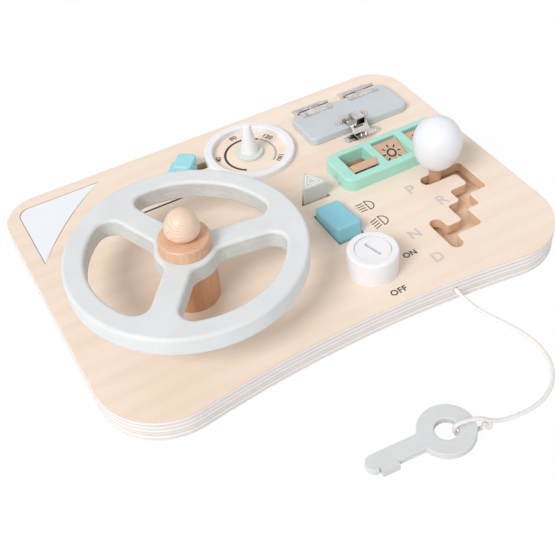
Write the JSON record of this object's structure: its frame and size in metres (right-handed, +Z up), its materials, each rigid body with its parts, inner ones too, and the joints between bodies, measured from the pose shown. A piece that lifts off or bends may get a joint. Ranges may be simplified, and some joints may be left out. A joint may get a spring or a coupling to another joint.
{
  "type": "wooden busy board",
  "caption": "Wooden toy dashboard board with steering wheel, dial, mirror, latched door, picture tiles, switches, gear lever and a key on a cord.",
  "frame": {"origin": "middle of the board's outline on its underside", "axes": "X along the board's long side, +Y to its straight far edge, +Z up out of its top"},
  "size_m": [0.35, 0.3534, 0.0913],
  "materials": {
    "base_panel": "clear lacquered plywood",
    "top_panel": "clear lacquered plywood",
    "panel_screws": "zinc plated",
    "mirror": "polished",
    "steering_post": "clear lacquered beech",
    "steering_axle": "bare beech",
    "steering_wheel": "satin paint",
    "steering_cap": "clear lacquered beech",
    "steering_knob": "clear lacquered beech",
    "dial_ring": "satin paint",
    "dial_pivot": "plain",
    "dial_disc": "satin paint",
    "dial_cone": "satin paint",
    "signal_knob": "satin paint",
    "signal_foot": "bare beech",
    "door": "satin paint",
    "hinge_board_leaves": "nickel plated",
    "hinge_door_leaves": "nickel plated",
    "hinge_pins": "nickel plated",
    "hinge_board_nails": "nickel plated",
    "hinge_door_nails": "nickel plated",
    "latch_plate": "polished",
    "latch_screws": "polished",
    "latch_pin": "polished",
    "latch_tongue": "polished",
    "latch_rivets": "polished",
    "latch_grip": "polished",
    "strike_plate": "polished",
    "strike_screws": "polished",
    "picture_frame": "satin paint",
    "picture_rod": "bare beech",
    "picture_tile_1": "printed plywood",
    "picture_tile_2": "printed plywood",
    "picture_tile_3": "printed plywood",
    "hazard_button": "satin paint",
    "hazard_spring": "plain",
    "headlight_rocker": "satin paint",
    "headlight_pin": "plain",
    "start_barrel": "satin paint",
    "start_rotor": "satin paint",
    "start_pin": "plain",
    "gear_knob": "satin paint",
    "gear_stem": "clear lacquered beech",
    "gear_foot": "bare beech",
    "key": "satin paint",
    "cord": "twisted cotton",
    "cord_knot": "twisted cotton"
  },
  "bodies": {
    "board": {"base_panel": "base_panel", "top_panel": "top_panel", "panel_screws": "panel_screws", "mirror": "mirror", "steering_post": "steering_post", "steering_axle": "steering_axle", "steering_cap": "steering_cap", "steering_knob": "steering_knob", "dial_ring": "dial_ring", "dial_pivot": "dial_pivot", "hinge_board_leaves": "hinge_board_leaves", "hinge_pins": "hinge_pins", "hinge_board_nails": "hinge_board_nails", "strike_plate": "strike_plate", "strike_screws": "strike_screws", "picture_frame": "picture_frame", "picture_rod": "picture_rod", "hazard_spring": "hazard_spring", "headlight_pin": "headlight_pin", "start_barrel": "start_barrel", "start_pin": "start_pin", "key": "key", "cord": "cord", "cord_knot": "cord_knot"},
    "steering": {"steering_wheel": "steering_wheel"},
    "dial": {"dial_disc": "dial_disc", "dial_cone": "dial_cone"},
    "signal": {"signal_knob": "signal_knob", "signal_foot": "signal_foot"},
    "door": {"door": "door", "hinge_door_leaves": "hinge_door_leaves", "hinge_door_nails": "hinge_door_nails", "latch_plate": "latch_plate", "latch_screws": "latch_screws", "latch_pin": "latch_pin"},
    "latch": {"latch_tongue": "latch_tongue", "latch_rivets": "latch_rivets", "latch_grip": "latch_grip"},
    "tile_1": {"picture_tile_1": "picture_tile_1"},
    "tile_2": {"picture_tile_2": "picture_tile_2"},
    "tile_3": {"picture_tile_3": "picture_tile_3"},
    "hazard": {"hazard_button": "hazard_button"},
    "headlight": {"headlight_rocker": "headlight_rocker"},
    "start": {"start_rotor": "start_rotor"},
    "gear": {"gear_knob": "gear_knob", "gear_stem": "gear_stem", "gear_foot": "gear_foot"}
  },
  "joints": [
    {"name": "steering_turn", "type": "hinge", "parent": "board", "child": "steering", "pos_m": [-0.0852, -0.0344, 0.054], "axis": [0, 0, 1], "continuous": true},
    {"name": "dial_turn", "type": "hinge", "parent": "board", "child": "dial", "pos_m": [0.0195, 0.0822, 0.0183], "axis": [0, 0, 1], "continuous": true},
    {"name": "signal_slide", "type": "slide", "parent": "board", "child": "signal", "axis": [1, 0, 0], "range_m": [-0.0375, 0.0045]},
    {"name": "door_open", "type": "hinge", "parent": "board", "child": "door", "pos_m": [0.111, 0.1009, 0.0247], "axis": [-1, 0, 0], "range_deg": [0, 110]},
    {"name": "latch_lift", "type": "hinge", "parent": "door", "child": "latch", "pos_m": [0.107, 0.0685, 0.0268], "axis": [-1, 0, 0], "range_deg": [0, 100]},
    {"name": "tile_1_spin", "type": "hinge", "parent": "board", "child": "tile_1", "pos_m": [0.07925, 0.01495, 0.0215], "axis": [1, 0, 0], "continuous": true},
    {"name": "tile_2_spin", "type": "hinge", "parent": "board", "child": "tile_2", "pos_m": [0.10855, 0.01495, 0.0215], "axis": [1, 0, 0], "continuous": true},
    {"name": "tile_3_spin", "type": "hinge", "parent": "board", "child": "tile_3", "pos_m": [0.13785, 0.01495, 0.0215], "axis": [1, 0, 0], "continuous": true},
    {"name": "hazard_press", "type": "slide", "parent": "board", "child": "hazard", "axis": [0, 0, -1], "range_m": [0, 0.0028], "stiffness_N_per_m": 300, "springref_m": -0.001, "deforming": ["hazard_spring"]},
    {"name": "headlight_rock", "type": "hinge", "parent": "board", "child": "headlight", "pos_m": [0.034, -0.0294, 0.015], "axis": [1, 0, 0], "range_deg": [0, 15]},
    {"name": "start_turn", "type": "hinge", "parent": "board", "child": "start", "pos_m": [0.0294, -0.0803, 0.03], "axis": [0, 0, 1], "range_deg": [0, 72]},
    {"name": "gear_shift", "type": "slide", "parent": "board", "child": "gear", "axis": [1, 0, 0], "range_m": [-0.0067, 0.0205]}
  ]
}
